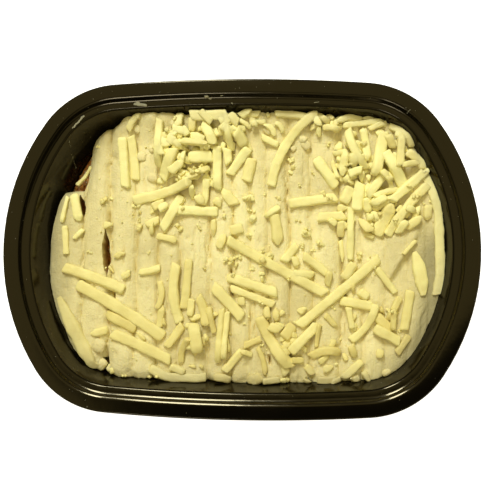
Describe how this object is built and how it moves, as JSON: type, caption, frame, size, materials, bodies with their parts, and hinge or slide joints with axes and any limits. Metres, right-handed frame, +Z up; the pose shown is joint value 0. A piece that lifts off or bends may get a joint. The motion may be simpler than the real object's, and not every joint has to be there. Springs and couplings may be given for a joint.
{
  "type": "shepherds pie in tray",
  "caption": "Chilled shepherd's pie in an oblong black tray: mince filling under ribbed mashed potato strewn with grated cheese.",
  "frame": {"origin": "under the middle of the tray's base, at the level it stands on", "axes": "+X along the tray's long way, towards the end where the cheese lies thick at the corner; +Y across, towards the far side in the picture; +Z up"},
  "size_m": [0.19, 0.136, 0.038],
  "materials": {
    "tray_plastic": "thermoformed black sheet, satin gloss",
    "mince": "moist cooked mince in gravy",
    "mash_and_cheese": "soft mashed potato with grated cheese"
  },
  "bodies": {
    "root": {"tray": "tray_plastic", "mince_filling": "mince", "mash_topping": "mash_and_cheese"}
  },
  "joints": []
}
